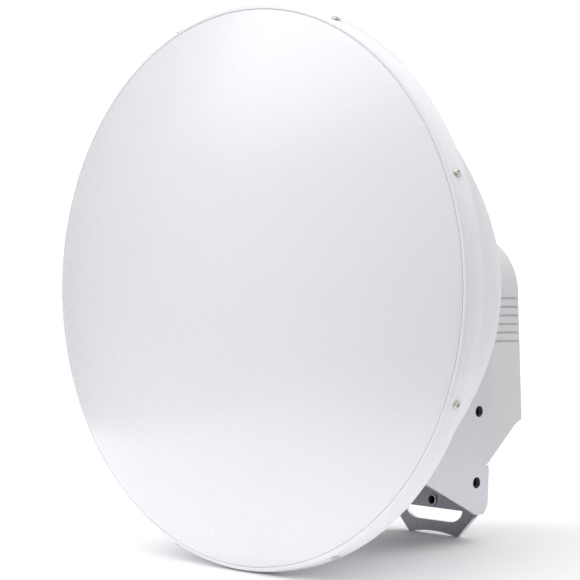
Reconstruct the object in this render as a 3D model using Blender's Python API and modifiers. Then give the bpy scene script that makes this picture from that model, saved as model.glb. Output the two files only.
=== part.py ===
"""Parabolic dish antenna with a domed radome, a sheet-metal mount bracket and a radio housing.

The antenna stands on the rim of its dish and on the two feet of its bracket, as it does when it is
put down on a floor: the dish then looks slightly upwards.

Antenna frame, in which every piece is drawn: X to the right seen from the front, Y from the front
to the back along the dish's axis, Z up. Y = 0 is the plane of the seam round the radome's face.
An empty carries all the pieces and leans them back until rim and feet touch Z = 0.
"""

import math

import bmesh
import bpy
from mathutils import Matrix, Vector

# Driving dimensions, in metres.
FACETS = 72                     # flats of the turned pieces, so that a flat lies at the bottom
GAP = 0.0003                    # clearance between pieces that touch

RIM_RADIUS = 0.189              # outside of the radome's skirt
SKIRT_REAR = 0.0155             # where the skirt ends, behind the seam plane
DOME_RISE = 0.048               # how far the radome bulges in front of the seam plane
DOME_EDGE_RADIUS = 0.1852       # where the dome meets the rounded edge
DOME_EDGE_HEIGHT = 0.0003
EDGE_ROUND = 0.0036             # rounding between the face and the skirt
RADOME_WALL = 0.003

BOWL_RADIUS = 0.182             # reflector's outside just behind the skirt
BOWL_DEPTH = 0.180              # depth of the full paraboloid, of which the tip is cut flat
BOWL_WALL = 0.0025
HUB_RADIUS = 0.070              # flat seat at the back of the bowl
COLLAR_FRONT = 0.0042           # front edge of the reflector's collar inside the skirt
COLLAR_REAR = 0.0132            # where the collar turns inwards to the bowl

SCREW_COUNT = 8
SCREW_FIRST_ANGLE = math.radians(25.0)
SCREW_PLANE = 0.0065            # the screws' distance behind the seam plane
SCREW_HEAD_RADIUS = 0.0028
SCREW_HEAD_HEIGHT = 0.0016
SCREW_SHANK_RADIUS = 0.0014
SCREW_HOLE_RADIUS = 0.0018
SCREW_LENGTH = 0.0065
SCREW_CUTTER_LENGTH = 0.016     # reaches through the skirt and the collar

SHEET = 0.003                   # bracket sheet thickness
BRACKET_HALF_WIDTH = 0.050      # outside of the side plates
PLATE_REAR = 0.1944             # rear edge of the side plates
PLATE_TOP = 0.038
PLATE_TOP_ROUND = 0.006         # rounding of the rear top corner
PLATE_BOTTOM = -0.1573
PLATE_CORNER = (0.0015, 0.002)  # cut off the lower rear corner
PLATE_LOWER_BEND_Y = 0.1847     # where the sloping lower edge turns level
PLATE_LOWER_SLOPE = 0.442       # rise of the lower edge towards the dish, per metre
PLATE_BOWL_CLEARANCE = 0.0006
POLE_HOLE_RADIUS = 0.004
POLE_HOLE_Y = 0.1842
POLE_HOLE_HEIGHTS = (-0.0842, -0.1345)

BEND_START = 0.1958             # where the foot plate leaves the side plates' plane
BEND_RADIUS = 0.005             # outside radius of its bends
BEND_NOTCH_TOP = -0.147         # tip of the notch at the lower end of each bend
BEND_NOTCH_HALF = 0.0056        # its half width at the side plate's bottom
BEND_TOP_SLOPE = (-0.0029, 0.001)   # where the bend's top slopes down, measured along the bend
FOOT_TOP = -0.1225
WEB_TOP = -0.1315               # upper edge between the bends
WEB_TOP_HALF = 0.0445
FOOT_BOTTOM = -0.1767
FOOT_OUTER = 0.0229             # half distance between the feet's outer corners
FOOT_INNER = 0.0205
FOOT_CHAMFER_TOP = 0.0412       # where the slanting sides start, under the bends
FOOT_ARCH_RISE = 0.0023
SLOT_TOP = -0.1577
SLOT_BOTTOM = -0.1667
SLOT_TOP_HALF = 0.0265
SLOT_BOTTOM_HALF = 0.0146
INSERT_X = -0.002
INSERT_HEIGHT = -0.1522
INSERT_HOLE_RADIUS = 0.0042
INSERT_BORE_RADIUS = 0.0028
INSERT_FLANGE_RADIUS = 0.0048
INSERT_FLANGE = 0.0004          # how far its flange stands in front of the plate
INSERT_TAIL = 0.003             # how far its closed barrel stands behind the plate
INSERT_END_WALL = 0.0008

HUB_PLATE_BOTTOM = -0.060
HUB_BOLT_SPREAD = 0.030         # half the square that the hub bolts form
HUB_BOLT_CENTRE = -0.006        # height of the square's middle
HUB_BOLT_HOLE_RADIUS = 0.0033
HUB_BOLT_SHANK_RADIUS = 0.0029
HUB_BOLT_HEAD_RADIUS = 0.0056
HUB_BOLT_HEAD_HEIGHT = 0.004
HUB_BOLT_CUTTER_LENGTH = 0.020

HOUSING_ARCH_RADIUS = 0.0442    # the housing's rounded top, seen from behind
HOUSING_ARCH_CENTRE = -0.0043
HOUSING_FOOT_HALF = 0.0465      # half width at the underside: the sides lean out
HOUSING_FRONT = 0.178
HOUSING_REAR_TOP = 0.232
HOUSING_REAR_LOW = 0.2388
HOUSING_REAR_CORNER = -0.0910
HOUSING_LIP_Y = 0.2307          # under the rear edge the slope flattens to a lip
HOUSING_LIP_HEIGHT = -0.0947
HOUSING_SLOPE_END = 0.1999      # where the sloping underside meets the level one
HOUSING_BOTTOM = -0.1222
HOUSING_ABOVE = 0.060           # a height clear above the housing's top
HOUSING_WIDE = 0.150            # a width well past both its sides
HOUSING_LONG = 0.200            # a length well past its front and rear
HOUSING_WALL = 0.0025
BACK_THICKNESS = 0.002
UNDERSIDE_THICKNESS = 0.002
VENT_COUNT = 6
VENT_FIRST = -0.0048
VENT_PITCH = 0.0061
VENT_HEIGHT = 0.0016
VENT_DEPTH = 0.0011
VENT_FRONT = 0.186

PAST = 0.005                    # how far a cutter reaches past what it cuts

# Places that follow from the driving dimensions.
BOWL_FRONT = SKIRT_REAR + GAP
HUB_Y = BOWL_FRONT + BOWL_DEPTH * (1.0 - (HUB_RADIUS / BOWL_RADIUS) ** 2)
HUB_PLATE_FRONT = HUB_Y + GAP
BRACKET_INSIDE = BRACKET_HALF_WIDTH - SHEET
FOOT_REAR = BEND_START + BEND_RADIUS
HOUSING_SIDE_LEAN = (HOUSING_FOOT_HALF - HOUSING_ARCH_RADIUS) / (HOUSING_ARCH_CENTRE - HOUSING_BOTTOM)
FLAT_FACTOR = 1.0 / math.cos(math.pi / FACETS)

FACING_FRONT = (math.pi / 2, 0.0, 0.0)          # local Z to the front, local Y up
FACING_SIDE = (math.pi / 2, 0.0, math.pi / 2)   # local X to the back, local Y up, local Z right


def new_collection(name):
    collection = bpy.data.collections.new(name)
    bpy.context.scene.collection.children.link(collection)
    return collection


def new_finish(name, colour, roughness, metallic):
    material = bpy.data.materials.new(name)
    material.use_nodes = True
    shader = material.node_tree.nodes["Principled BSDF"]
    shader.inputs["Base Color"].default_value = (*colour, 1.0)
    shader.inputs["Roughness"].default_value = roughness
    shader.inputs["Metallic"].default_value = metallic
    return material


def place(obj, collection, location=(0.0, 0.0, 0.0), rotation=(0.0, 0.0, 0.0)):
    collection.objects.link(obj)
    obj.parent = antenna_frame
    obj.location = location
    obj.rotation_euler = rotation
    return obj


def finish(obj, material):
    obj.data.materials.clear()
    obj.data.materials.append(material)
    return obj


def as_cutter(obj):
    obj.hide_render = True
    obj.display_type = "WIRE"
    return obj


def boolean(obj, other, operation, name):
    modifier = obj.modifiers.new(name, "BOOLEAN")
    modifier.operation = operation
    modifier.solver = "EXACT"
    modifier.object = other


def turned(name, profile, material, steps=FACETS, rotation=FACING_FRONT, location=(0.0, 0.0, 0.0)):
    """Turn a profile of (radius, height) points about the local Z axis."""
    mesh = bpy.data.meshes.new(name)
    shape = bmesh.new()
    points = [shape.verts.new((radius, 0.0, height)) for radius, height in profile]
    for first, second in zip(points, points[1:]):
        shape.edges.new((first, second))
    shape.to_mesh(mesh)
    shape.free()
    obj = place(bpy.data.objects.new(name, mesh), parts, location, rotation)
    screw = obj.modifiers.new("turn", "SCREW")
    screw.axis = "Z"
    screw.angle = 2.0 * math.pi
    screw.steps = steps
    screw.render_steps = steps
    screw.use_merge_vertices = True
    screw.merge_threshold = 0.0001
    screw.use_smooth_shade = True
    return finish(obj, material)


def arc(centre, radius, start, end, steps):
    """Points on an arc; radius may be a pair for an ellipse, angles in degrees."""
    across, up = radius if isinstance(radius, tuple) else (radius, radius)
    points = []
    for step in range(steps + 1):
        angle = math.radians(start + (end - start) * step / steps)
        points.append((centre[0] + across * math.cos(angle), centre[1] + up * math.sin(angle)))
    return points


def sheet(name, outlines, thickness, middle, rotation, collection):
    """A flat sheet from closed outlines, the first outside and the rest holes, as a welded mesh."""
    curve = bpy.data.curves.new(name, "CURVE")
    curve.dimensions = "2D"
    curve.fill_mode = "BOTH"
    curve.extrude = thickness / 2
    curve.resolution_u = 1
    curve.render_resolution_u = 0
    for outline in outlines:
        spline = curve.splines.new("POLY")
        spline.points.add(len(outline) - 1)
        for point, (across, up) in zip(spline.points, outline):
            point.co = (across, up, 0.0, 1.0)
        spline.use_cyclic_u = True
    drawn = place(bpy.data.objects.new(name + "_outline", curve), collection, middle, rotation)
    bpy.context.view_layer.update()
    solid = bpy.data.meshes.new_from_object(drawn.evaluated_get(bpy.context.evaluated_depsgraph_get()))
    solid.name = name
    shape = bmesh.new()
    shape.from_mesh(solid)
    bmesh.ops.remove_doubles(shape, verts=shape.verts, dist=0.00001)
    bmesh.ops.recalc_face_normals(shape, faces=shape.faces)
    shape.to_mesh(solid)
    shape.free()
    bpy.data.objects.remove(drawn, do_unlink=True)
    return place(bpy.data.objects.new(name, solid), collection, middle, rotation)


def holes(name, radius, depth, places):
    """One cutter made of round pins, each given by the matrix of its middle."""
    mesh = bpy.data.meshes.new(name)
    shape = bmesh.new()
    for matrix in places:
        bmesh.ops.create_cone(shape, cap_ends=True, segments=12, radius1=radius, radius2=radius,
                              depth=depth, matrix=matrix)
    shape.to_mesh(mesh)
    shape.free()
    return as_cutter(place(bpy.data.objects.new(name, mesh), cutters))


def screw_angles():
    return [SCREW_FIRST_ANGLE + 2.0 * math.pi * index / SCREW_COUNT for index in range(SCREW_COUNT)]


def radial(angle, radius):
    """Matrix at a place round the rim, with local Z pointing outwards."""
    outwards = Vector((math.cos(angle), 0.0, math.sin(angle)))
    turn = outwards.to_track_quat("Z", "Y").to_matrix().to_4x4()
    return Matrix.Translation(outwards * radius + Vector((0.0, SCREW_PLANE, 0.0))) @ turn


def make_radome():
    """The white plastic cap: a dome, a rounded edge and a skirt round the reflector's collar."""
    rise = DOME_RISE - DOME_EDGE_HEIGHT
    ball = (DOME_EDGE_RADIUS ** 2 + rise ** 2) / (2.0 * rise)
    ball_centre = DOME_RISE - ball
    edge_angle = math.degrees(math.asin(DOME_EDGE_RADIUS / ball))
    inner_radius = RIM_RADIUS - RADOME_WALL
    inner_edge = inner_radius - RADOME_WALL
    inner_ball = ball - RADOME_WALL
    inner_angle = math.degrees(math.asin(inner_edge / inner_ball))
    outside = arc((0.0, ball_centre), ball, 90.0, 90.0 - edge_angle, 9)
    rounding = arc((RIM_RADIUS - EDGE_ROUND, -EDGE_ROUND), EDGE_ROUND, 67.5, 0.0, 3)
    skirt = [(RIM_RADIUS, -SKIRT_REAR), (inner_radius, -SKIRT_REAR), (inner_radius, -EDGE_ROUND)]
    inside = arc((0.0, ball_centre), inner_ball, 90.0 - inner_angle, 90.0, 9)
    profile = outside + rounding + skirt + inside
    profile[0] = (0.0, DOME_RISE)
    profile[-1] = (0.0, ball_centre + inner_ball)
    profile = [(radius * FLAT_FACTOR, height) for radius, height in profile]
    rotation = (math.pi / 2, math.pi / FACETS, 0.0)
    radome = turned("radome", profile, white_plastic, rotation=rotation)
    boolean(radome, rim_holes, "DIFFERENCE", "screw_holes")


def make_reflector():
    """The spun metal bowl: a paraboloid with a flat hub and a collar inside the radome's skirt."""
    steps = 11
    outside = []
    for step in range(steps + 1):
        depth = (HUB_Y - BOWL_FRONT) * step / steps
        outside.append((BOWL_RADIUS * math.sqrt(1.0 - depth / BOWL_DEPTH), BOWL_FRONT + depth))
    inside = []
    for radius, y in reversed(outside):
        slope = 2.0 * BOWL_DEPTH * radius / BOWL_RADIUS ** 2
        length = math.hypot(slope, 1.0)
        inside.append((radius - BOWL_WALL * slope / length, y - BOWL_WALL / length))
    collar_outer = RIM_RADIUS - RADOME_WALL - GAP
    collar_inner = collar_outer - BOWL_WALL
    collar = [(collar_inner, COLLAR_REAR - BOWL_WALL / 2), (collar_inner, COLLAR_FRONT),
              (collar_outer, COLLAR_FRONT), (collar_outer, COLLAR_REAR)]
    hub_inside = [(0.0, HUB_Y - BOWL_WALL), (inside[0][0], HUB_Y - BOWL_WALL)]
    profile = hub_inside + inside[1:] + collar + outside + [(0.0, HUB_Y)]
    profile = [(radius * FLAT_FACTOR, -y) for radius, y in profile]
    rotation = (math.pi / 2, math.pi / FACETS, 0.0)
    reflector = turned("reflector", profile, painted_aluminium, rotation=rotation)
    boolean(reflector, rim_holes, "DIFFERENCE", "screw_holes")
    boolean(reflector, hub_holes, "DIFFERENCE", "hub_holes")


def make_rim_screws():
    """Pan-head screws that hold the radome's skirt to the reflector's collar."""
    seat = GAP
    profile = [(0.0, seat + SCREW_HEAD_HEIGHT), (SCREW_HEAD_RADIUS * 0.62, seat + SCREW_HEAD_HEIGHT),
               (SCREW_HEAD_RADIUS, seat + SCREW_HEAD_HEIGHT * 0.45), (SCREW_HEAD_RADIUS, seat),
               (SCREW_SHANK_RADIUS, seat), (SCREW_SHANK_RADIUS, -SCREW_LENGTH), (0.0, -SCREW_LENGTH)]
    for index, angle in enumerate(screw_angles()):
        matrix = radial(angle, RIM_RADIUS)
        turned(f"rim_screw_{index + 1}", profile, bright_steel, steps=12,
               rotation=matrix.to_euler(), location=matrix.translation)


def make_side_plates():
    """The two gussets that run from the hub plate along the bowl down to the foot plate."""
    curve = BOWL_DEPTH / BOWL_RADIUS ** 2
    # The lower edge z = bottom + slope (bend - y) meets the bowl's curve y = a - b z^2.
    a = BOWL_FRONT + PLATE_BOWL_CLEARANCE + BOWL_DEPTH - curve * BRACKET_INSIDE ** 2
    top = PLATE_BOTTOM + PLATE_LOWER_SLOPE * (PLATE_LOWER_BEND_Y - a)
    slope = PLATE_LOWER_SLOPE * curve
    tip_z = (1.0 - math.sqrt(1.0 - 4.0 * slope * top)) / (2.0 * slope)
    corner_z = -math.sqrt((a - HUB_PLATE_FRONT) / curve)
    along_bowl = []
    steps = 8
    for step in range(steps + 1):
        z = corner_z + (tip_z - corner_z) * step / steps
        along_bowl.append((a - curve * z * z, z))
    top_round = arc((PLATE_REAR - PLATE_TOP_ROUND, PLATE_TOP - PLATE_TOP_ROUND), PLATE_TOP_ROUND,
                    0.0, 90.0, 3)
    corner_y, corner_rise = PLATE_CORNER
    outline = [(PLATE_REAR, PLATE_BOTTOM + corner_rise)] + top_round + [(HUB_PLATE_FRONT, PLATE_TOP)]
    outline += along_bowl + [(PLATE_LOWER_BEND_Y, PLATE_BOTTOM), (PLATE_REAR - corner_y, PLATE_BOTTOM)]
    pole_holes = [arc((POLE_HOLE_Y, z), POLE_HOLE_RADIUS, 0.0, 345.0, 23) for z in POLE_HOLE_HEIGHTS]
    for side, sign in (("left", -1.0), ("right", 1.0)):
        middle = (sign * (BRACKET_HALF_WIDTH - SHEET / 2), 0.0, 0.0)
        plate = sheet(f"side_plate_{side}", [outline] + pole_holes, SHEET, middle, FACING_SIDE, parts)
        finish(plate, zinc_steel)


def make_hub_plate():
    """The plate that is bolted to the reflector's hub and carries the side plates."""
    half = BRACKET_INSIDE - GAP
    outline = [(-half, HUB_PLATE_BOTTOM), (half, HUB_PLATE_BOTTOM), (half, PLATE_TOP), (-half, PLATE_TOP)]
    bolt_holes = [arc(centre, HUB_BOLT_HOLE_RADIUS, 0.0, 330.0, 11) for centre in hub_bolt_places()]
    middle = (0.0, HUB_PLATE_FRONT + SHEET / 2, 0.0)
    plate = sheet("hub_plate", [outline] + bolt_holes, SHEET, middle, FACING_FRONT, parts)
    finish(plate, zinc_steel)


def hub_bolt_places():
    return [(sign_x * HUB_BOLT_SPREAD, sign_z * HUB_BOLT_SPREAD + HUB_BOLT_CENTRE)
            for sign_z in (1.0, -1.0) for sign_x in (-1.0, 1.0)]


def make_hub_bolts():
    seat = HUB_PLATE_FRONT + SHEET + GAP
    end = -(SHEET + 2.0 * GAP + BOWL_WALL)
    profile = [(0.0, HUB_BOLT_HEAD_HEIGHT), (HUB_BOLT_HEAD_RADIUS * 0.8, HUB_BOLT_HEAD_HEIGHT),
               (HUB_BOLT_HEAD_RADIUS, HUB_BOLT_HEAD_HEIGHT * 0.7), (HUB_BOLT_HEAD_RADIUS, 0.0),
               (HUB_BOLT_SHANK_RADIUS, 0.0), (HUB_BOLT_SHANK_RADIUS, end), (0.0, end)]
    for index, (x, z) in enumerate(hub_bolt_places()):
        turned(f"hub_bolt_{index + 1}", profile, bright_steel, steps=12,
               rotation=(-math.pi / 2, 0.0, 0.0), location=(x, seat, z))


def bend_cutter(name, outline, side):
    """A cutter through one of the foot plate's bends; its outline is (along the bend, height)."""
    outwards = Vector((side, 1.0, 0.0)).normalized()
    centre = Vector((side * (BRACKET_HALF_WIDTH - BEND_RADIUS), BEND_START, 0.0))
    across = [(-side * along, height) for along, height in outline]
    return as_cutter(sheet(name, [across], BEND_RADIUS + 2.0 * PAST, centre + outwards * BEND_RADIUS,
                           (math.pi / 2, 0.0, -side * math.pi / 4), cutters))


def make_foot_plate():
    """The web across the bracket's lower rear: bends, hand slot, arch and the two feet."""
    half = BRACKET_HALF_WIDTH
    corner = (half - BEND_RADIUS, BEND_START)
    outer = [(half, PLATE_REAR + GAP)] + arc(corner, BEND_RADIUS, 0.0, 90.0, 5)
    inner = arc(corner, BEND_RADIUS - SHEET, 90.0, 0.0, 3) + [(BRACKET_INSIDE, PLATE_REAR + GAP)]
    outer_left = [(-x, y) for x, y in reversed(outer)]
    inner_left = [(-x, y) for x, y in reversed(inner)]
    middle = (0.0, 0.0, (FOOT_TOP + FOOT_BOTTOM) / 2)
    blank = sheet("foot_plate", [outer + outer_left + inner_left + inner], FOOT_TOP - FOOT_BOTTOM,
                  middle, (0.0, 0.0, 0.0), parts)
    arch_radius = (FOOT_INNER ** 2 + FOOT_ARCH_RISE ** 2) / (2.0 * FOOT_ARCH_RISE)
    arch_half = math.degrees(math.asin(FOOT_INNER / arch_radius))
    arch = arc((0.0, FOOT_BOTTOM + FOOT_ARCH_RISE - arch_radius), arch_radius,
               90.0 + arch_half, 90.0 - arch_half, 8)
    wide = half + PAST
    above = FOOT_TOP + PAST
    right = [(FOOT_OUTER, FOOT_BOTTOM), (FOOT_CHAMFER_TOP, PLATE_BOTTOM), (wide, PLATE_BOTTOM),
             (wide, above), (WEB_TOP_HALF, above), (WEB_TOP_HALF, WEB_TOP)]
    left = [(-x, z) for x, z in reversed(right)]
    end_radii = (SLOT_TOP_HALF - SLOT_BOTTOM_HALF, SLOT_TOP - SLOT_BOTTOM)
    slot = arc((SLOT_BOTTOM_HALF, SLOT_TOP), end_radii, 0.0, -90.0, 6)
    slot += arc((-SLOT_BOTTOM_HALF, SLOT_TOP), end_radii, -90.0, -180.0, 6)
    insert_hole = arc((INSERT_X, INSERT_HEIGHT), INSERT_HOLE_RADIUS, 0.0, 345.0, 23)
    through = 2.0 * (FOOT_REAR - PLATE_REAR + PAST)
    stencil = sheet("foot_stencil", [right + left + arch, slot, insert_hole], through,
                    (0.0, FOOT_REAR, 0.0), FACING_FRONT, cutters)
    boolean(blank, as_cutter(stencil), "INTERSECT", "cut_out")

    below = PLATE_BOTTOM - PAST
    notch_half = BEND_NOTCH_HALF * (BEND_NOTCH_TOP - below) / (BEND_NOTCH_TOP - PLATE_BOTTOM)
    notch = [(-notch_half, below), (notch_half, below), (0.0, BEND_NOTCH_TOP)]
    slope_start, slope_end = BEND_TOP_SLOPE
    past_bend = BEND_RADIUS + 0.001
    top = [(slope_start, FOOT_TOP), (slope_end, WEB_TOP), (past_bend, WEB_TOP), (past_bend, above),
           (slope_start, above)]
    for side, sign in (("left", -1.0), ("right", 1.0)):
        boolean(blank, bend_cutter(f"bend_notch_{side}", notch, sign), "DIFFERENCE", f"notch_{side}")
        boolean(blank, bend_cutter(f"bend_top_{side}", top, sign), "DIFFERENCE", f"top_{side}")
    finish(blank, zinc_steel)


def make_ground_insert():
    """The blind threaded insert above the hand slot, pressed into the foot plate from the front."""
    barrel = INSERT_HOLE_RADIUS - GAP
    face = GAP + INSERT_FLANGE
    end = -SHEET - INSERT_TAIL
    floor = end + INSERT_END_WALL
    profile = [(0.0, floor), (INSERT_BORE_RADIUS, floor), (INSERT_BORE_RADIUS, face),
               (INSERT_FLANGE_RADIUS, face), (INSERT_FLANGE_RADIUS, GAP), (barrel, GAP),
               (barrel, end), (0.0, end)]
    turned("ground_insert", profile, bright_steel, steps=24,
           location=(INSERT_X, FOOT_REAR - SHEET, INSERT_HEIGHT))


def housing_arch(inset, bottom):
    """The housing seen from behind: a round top on sides that lean out, set in by a wall."""
    radius = HOUSING_ARCH_RADIUS - inset
    foot = radius + HOUSING_SIDE_LEAN * (HOUSING_ARCH_CENTRE - bottom)
    return arc((0.0, HOUSING_ARCH_CENTRE), radius, 0.0, 180.0, 20) + [(-foot, bottom), (foot, bottom)]


def across_housing(name, inset, bottom):
    """A cutter with the housing's shape seen from behind, running past its front and rear."""
    middle = (0.0, HOUSING_REAR_TOP, 0.0)
    return as_cutter(sheet(name, [housing_arch(inset, bottom)], HOUSING_LONG, middle, FACING_FRONT, cutters))


def housing_lower_line():
    """The housing's underside seen from the side: level, a slope, and a lip to the rear edge."""
    return [(HOUSING_FRONT, HOUSING_BOTTOM), (HOUSING_SLOPE_END, HOUSING_BOTTOM),
            (HOUSING_LIP_Y, HOUSING_LIP_HEIGHT), (HOUSING_REAR_LOW, HOUSING_REAR_CORNER)]


def make_housing():
    """The moulded cover of the radio unit, with the plates that close its front and underside."""
    middle = (0.0, 0.0, 0.0)
    outer_side = housing_lower_line() + [(HOUSING_REAR_TOP, HOUSING_ARCH_CENTRE),
                                         (HOUSING_REAR_TOP, HOUSING_ABOVE), (HOUSING_FRONT, HOUSING_ABOVE)]
    cover = sheet("housing_cover", [outer_side], HOUSING_WIDE, middle, FACING_SIDE, parts)
    boolean(cover, across_housing("housing_shape", 0.0, HOUSING_BOTTOM - PAST), "INTERSECT", "shape")

    below = HOUSING_BOTTOM - PAST
    front = HOUSING_FRONT - PAST
    inner_side = [(front, below), (HOUSING_REAR_LOW - HOUSING_WALL, below),
                  (HOUSING_REAR_LOW - HOUSING_WALL, HOUSING_REAR_CORNER),
                  (HOUSING_REAR_TOP - HOUSING_WALL, HOUSING_ARCH_CENTRE),
                  (HOUSING_REAR_TOP - HOUSING_WALL, HOUSING_ABOVE), (front, HOUSING_ABOVE)]
    hollow = as_cutter(sheet("housing_hollow", [inner_side], HOUSING_WIDE, middle, FACING_SIDE, cutters))
    boolean(hollow, across_housing("hollow_shape", HOUSING_WALL, below - PAST), "INTERSECT", "shape")
    boolean(cover, hollow, "DIFFERENCE", "hollow")
    boolean(cover, make_vents(), "DIFFERENCE", "vents")
    finish(cover, grey_plastic)

    back_outline = housing_arch(HOUSING_WALL + GAP, HOUSING_BOTTOM + UNDERSIDE_THICKNESS + GAP)
    back = sheet("housing_back", [back_outline], BACK_THICKNESS,
                 (0.0, HOUSING_FRONT + BACK_THICKNESS / 2, 0.0), FACING_FRONT, parts)
    finish(back, grey_plastic)


def make_vents():
    """Cutter for the level grooves in both sides of the cover, running out at its rear edge."""
    mesh = bpy.data.meshes.new("housing_vents")
    shape = bmesh.new()
    length = HOUSING_REAR_LOW + PAST - VENT_FRONT
    size = Matrix.Diagonal((PAST, length, VENT_HEIGHT, 1.0))
    for index in range(VENT_COUNT):
        z = VENT_FIRST - VENT_PITCH * index
        wall = HOUSING_ARCH_RADIUS + HOUSING_SIDE_LEAN * (HOUSING_ARCH_CENTRE - z)
        for sign in (-1.0, 1.0):
            middle = Vector((sign * (wall - VENT_DEPTH + PAST / 2), VENT_FRONT + length / 2, z))
            bmesh.ops.create_cube(shape, size=1.0, matrix=Matrix.Translation(middle) @ size)
    shape.to_mesh(mesh)
    shape.free()
    return as_cutter(place(bpy.data.objects.new("housing_vents", mesh), cutters))


def make_underside():
    """The folded panel that closes the housing's underside, set in the cover's opening."""
    lower = housing_lower_line()
    lip, corner = Vector(lower[-2]), Vector(lower[-1])
    rear = HOUSING_REAR_LOW - HOUSING_WALL - GAP
    lower[-1] = tuple(lip.lerp(corner, (rear - lip.x) / (corner.x - lip.x)))
    upwards = []
    for start, end in zip(lower, lower[1:]):
        along = (Vector(end) - Vector(start)).normalized()
        upwards.append(Vector((-along.y, along.x)))
    upper = [(lower[0][0], lower[0][1] + UNDERSIDE_THICKNESS)]
    for (y, z), before, after in zip(lower[1:], upwards, upwards[1:]):
        shift = (before + after) * UNDERSIDE_THICKNESS / (1.0 + before.dot(after))
        upper.append((y + shift.x, z + shift.y))
    upper.append((rear, lower[-1][1] + UNDERSIDE_THICKNESS / upwards[-1].y))
    outline = lower + upper[::-1]
    panel = sheet("housing_underside", [outline], HOUSING_WIDE, (0.0, 0.0, 0.0), FACING_SIDE, parts)
    opening = across_housing("underside_shape", HOUSING_WALL + GAP, HOUSING_BOTTOM - PAST)
    boolean(panel, opening, "INTERSECT", "shape")
    finish(panel, grey_plastic)


def stand_on_floor():
    """Lean the antenna back until rim and feet touch the floor, with the origin under its middle."""
    lean = math.atan2(RIM_RADIUS + FOOT_BOTTOM, FOOT_REAR - SKIRT_REAR)
    antenna_frame.rotation_euler = (-lean, 0.0, 0.0)
    bpy.context.view_layer.update()
    graph = bpy.context.evaluated_depsgraph_get()
    corners = []
    for obj in parts.objects:
        solid = obj.evaluated_get(graph)
        corners += [solid.matrix_world @ vertex.co for vertex in solid.data.vertices]
    low = Vector([min(corner[axis] for corner in corners) for axis in range(3)])
    high = Vector([max(corner[axis] for corner in corners) for axis in range(3)])
    middle = (low + high) / 2
    antenna_frame.location = (-middle.x, -middle.y, -low.z)
    bpy.context.view_layer.update()


for old in list(bpy.data.objects):
    bpy.data.objects.remove(old, do_unlink=True)

parts = new_collection("parabolic_dish_antenna")
cutters = new_collection("cutters")
antenna_frame = bpy.data.objects.new("antenna_frame", None)
bpy.context.scene.collection.objects.link(antenna_frame)

white_plastic = new_finish("white_radome_plastic", (0.86, 0.87, 0.89), 0.38, 0.0)
painted_aluminium = new_finish("painted_aluminium", (0.66, 0.66, 0.68), 0.45, 0.0)
zinc_steel = new_finish("zinc_plated_steel", (0.62, 0.60, 0.63), 0.34, 1.0)
grey_plastic = new_finish("grey_housing_plastic", (0.60, 0.60, 0.61), 0.48, 0.0)
bright_steel = new_finish("bright_steel", (0.60, 0.59, 0.56), 0.30, 1.0)

rim_holes = holes("rim_screw_holes", SCREW_HOLE_RADIUS, SCREW_CUTTER_LENGTH,
                  [radial(angle, RIM_RADIUS) for angle in screw_angles()])
hub_holes = holes("hub_bolt_holes", HUB_BOLT_HOLE_RADIUS, HUB_BOLT_CUTTER_LENGTH,
                  [Matrix.Translation((x, HUB_Y, z)) @ Matrix.Rotation(math.pi / 2, 4, "X")
                   for x, z in hub_bolt_places()])

make_radome()
make_reflector()
make_rim_screws()
make_hub_plate()
make_hub_bolts()
make_side_plates()
make_foot_plate()
make_ground_insert()
make_housing()
make_underside()
stand_on_floor()
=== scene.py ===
import math

import bmesh
import bpy
from mathutils import Euler, Matrix, Vector


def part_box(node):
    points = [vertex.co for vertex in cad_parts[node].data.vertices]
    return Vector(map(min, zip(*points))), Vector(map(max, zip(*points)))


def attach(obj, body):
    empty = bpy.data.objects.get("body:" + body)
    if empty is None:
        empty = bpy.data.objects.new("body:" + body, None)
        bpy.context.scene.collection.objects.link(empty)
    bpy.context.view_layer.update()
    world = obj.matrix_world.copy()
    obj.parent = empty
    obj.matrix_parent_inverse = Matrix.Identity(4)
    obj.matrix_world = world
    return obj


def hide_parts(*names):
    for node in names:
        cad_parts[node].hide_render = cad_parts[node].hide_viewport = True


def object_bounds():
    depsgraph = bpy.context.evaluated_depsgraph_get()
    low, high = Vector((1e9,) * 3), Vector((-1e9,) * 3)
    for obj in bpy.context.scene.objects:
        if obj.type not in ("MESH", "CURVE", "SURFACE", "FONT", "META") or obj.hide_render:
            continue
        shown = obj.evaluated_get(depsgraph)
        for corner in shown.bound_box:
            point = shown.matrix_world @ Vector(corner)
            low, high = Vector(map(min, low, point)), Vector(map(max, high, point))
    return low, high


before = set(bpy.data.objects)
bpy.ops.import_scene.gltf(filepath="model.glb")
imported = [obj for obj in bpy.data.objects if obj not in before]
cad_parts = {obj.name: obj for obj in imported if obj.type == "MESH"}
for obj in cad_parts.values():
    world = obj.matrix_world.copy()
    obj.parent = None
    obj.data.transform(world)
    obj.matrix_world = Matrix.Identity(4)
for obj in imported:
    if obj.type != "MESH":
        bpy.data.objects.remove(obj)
cad_low, cad_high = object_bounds()

# How the antenna stands
# The real antenna is put down on the bottom of its rim and on the two feet of its bracket, so that its
# axis points slightly upwards. Every piece is drawn upright in the antenna's own frame, with Y along the
# axis to the back and Y = 0 at the radome's seam, and is then leaned back onto the floor.
RIM_RADIUS = 0.189
SKIRT_REAR = 0.0155
FOOT_BOTTOM = -0.1767
FOOT_REAR = 0.2008
SCREW_COUNT = 8
SCREW_FIRST_ANGLE = math.radians(25.0)
SCREW_PLANE = 0.0065


def middle_of(node):
    low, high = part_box(node)
    return (low + high) / 2


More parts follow.
